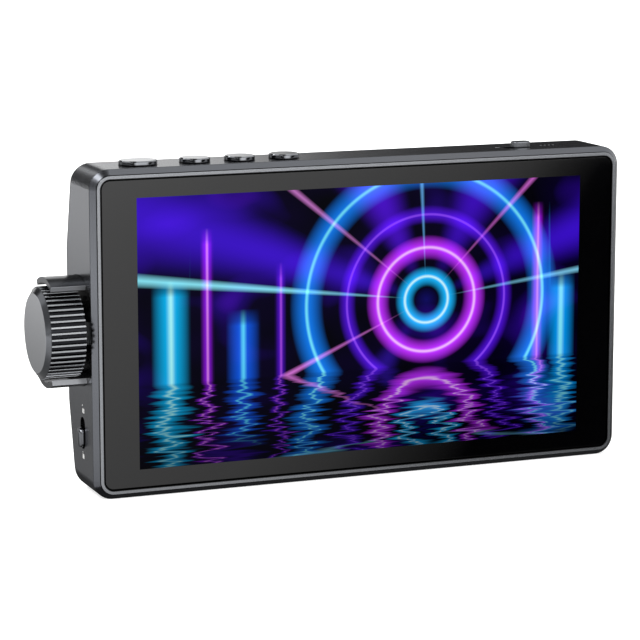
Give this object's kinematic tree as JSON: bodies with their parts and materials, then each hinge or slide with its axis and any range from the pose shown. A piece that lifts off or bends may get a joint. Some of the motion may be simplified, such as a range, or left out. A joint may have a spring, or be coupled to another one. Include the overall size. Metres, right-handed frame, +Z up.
{
  "type": "camera field monitor",
  "caption": "Flat camera field monitor in a chamfered black case, with a ribbed side knob between guard walls, top buttons, slide switches and a rear battery plate.",
  "frame": {"origin": "centre of the stand thread's mouth, on the bottom face, in the middle of the body's width", "axes": "+X to the right seen from the screen side, +Y towards the back, +Z up"},
  "size_m": [0.1556, 0.0306, 0.084],
  "materials": {
    "black_case": "die-cast, fine blasted, graphite anodised",
    "black_bezel": "graphite anodised, lip machined",
    "cover_glass": "polished, black printed border",
    "black_tape": "foam adhesive tape",
    "panel": "liquid crystal panel",
    "backlight": "white moulded frame",
    "stamped_metal": "stamped sheet",
    "steel": "bright zinc",
    "black_steel": "black zinc",
    "circuit_board": "green solder mask",
    "chip": "moulded epoxy",
    "thermal_pad": "soft silicone",
    "connector": "moulded nylon",
    "ribbon": "polyimide film",
    "button_metal": "turned, satin anodised",
    "switch_grey": "moulded, smoked mirror coat",
    "switch_body": "moulded",
    "encoder_metal": "nickel plated",
    "knob_metal": "satin black anodised, ribbed",
    "guard_black": "black anodised, cut edges",
    "socket_shell": "nickel plated",
    "socket_black": "moulded",
    "plate_black": "fine matt moulded",
    "gold": "gold plated",
    "lead_red": "insulated wire",
    "latch_grey": "moulded",
    "brass": "turned"
  },
  "bodies": {
    "root": {"front_bezel": "black_bezel", "cover_glass": "cover_glass", "glass_tape": "black_tape", "lcd_panel": "panel", "backlight_unit": "backlight", "inner_frame": "stamped_metal", "frame_screws": "steel", "housing": "black_case", "rear_cover": "black_case", "rear_screws": "black_steel", "main_board": "circuit_board", "board_screws": "steel", "main_chips": "chip", "thermal_pad": "thermal_pad", "heat_sink": "stamped_metal", "board_connectors": "connector", "panel_ribbon": "ribbon", "key_ribbon": "ribbon", "side_ribbon": "ribbon", "key_board": "circuit_board", "key_switches": "switch_body", "top_switch_body": "switch_body", "side_board": "circuit_board", "side_switch_body": "switch_body", "encoder_body": "encoder_metal", "encoder_nut": "steel", "knob_guard": "guard_black", "video_in_socket": "socket_shell", "video_out_socket": "socket_shell", "data_socket": "socket_shell", "socket_tongues": "socket_black", "power_socket": "socket_black", "power_pin": "gold", "headphone_socket": "socket_black", "battery_plate": "plate_black", "plate_screws": "steel", "battery_contacts": "gold", "battery_leads": "lead_red", "latch_spring": "steel", "stand_insert": "brass"},
    "power_button": {"power_button": "button_metal"},
    "function_button_1": {"function_button_1": "button_metal"},
    "function_button_2": {"function_button_2": "button_metal"},
    "function_button_3": {"function_button_3": "button_metal"},
    "top_switch": {"top_switch_cap": "switch_grey"},
    "side_switch": {"side_switch_cap": "switch_grey"},
    "encoder_plunger": {"encoder_plunger": "connector"},
    "knob": {"knob": "knob_metal", "knob_shaft": "encoder_metal"},
    "battery_latch": {"battery_latch": "latch_grey"}
  },
  "joints": [
    {"name": "power_press", "type": "slide", "parent": "root", "child": "power_button", "axis": [0, 0, -1], "range_m": [0, 0.0006], "stiffness_N_per_m": 2500},
    {"name": "function_1_press", "type": "slide", "parent": "root", "child": "function_button_1", "axis": [0, 0, -1], "range_m": [0, 0.0006], "stiffness_N_per_m": 2500},
    {"name": "function_2_press", "type": "slide", "parent": "root", "child": "function_button_2", "axis": [0, 0, -1], "range_m": [0, 0.0006], "stiffness_N_per_m": 2500},
    {"name": "function_3_press", "type": "slide", "parent": "root", "child": "function_button_3", "axis": [0, 0, -1], "range_m": [0, 0.0006], "stiffness_N_per_m": 2500},
    {"name": "top_switch_slide", "type": "slide", "parent": "root", "child": "top_switch", "axis": [-1, 0, 0], "range_m": [0, 0.002]},
    {"name": "side_switch_slide", "type": "slide", "parent": "root", "child": "side_switch", "axis": [0, 0, 1], "range_m": [0, 0.002]},
    {"name": "knob_press", "type": "slide", "parent": "root", "child": "encoder_plunger", "axis": [1, 0, 0], "range_m": [0, 0.0005], "stiffness_N_per_m": 6000},
    {"name": "knob_turn", "type": "hinge", "parent": "encoder_plunger", "child": "knob", "pos_m": [-0.0721, 0.0015, 0.0412], "axis": [1, 0, 0], "continuous": true},
    {"name": "latch_press", "type": "slide", "parent": "root", "child": "battery_latch", "axis": [0, -1, 0], "range_m": [0, 0.0018], "stiffness_N_per_m": 1200, "deforming": ["latch_spring"]}
  ]
}
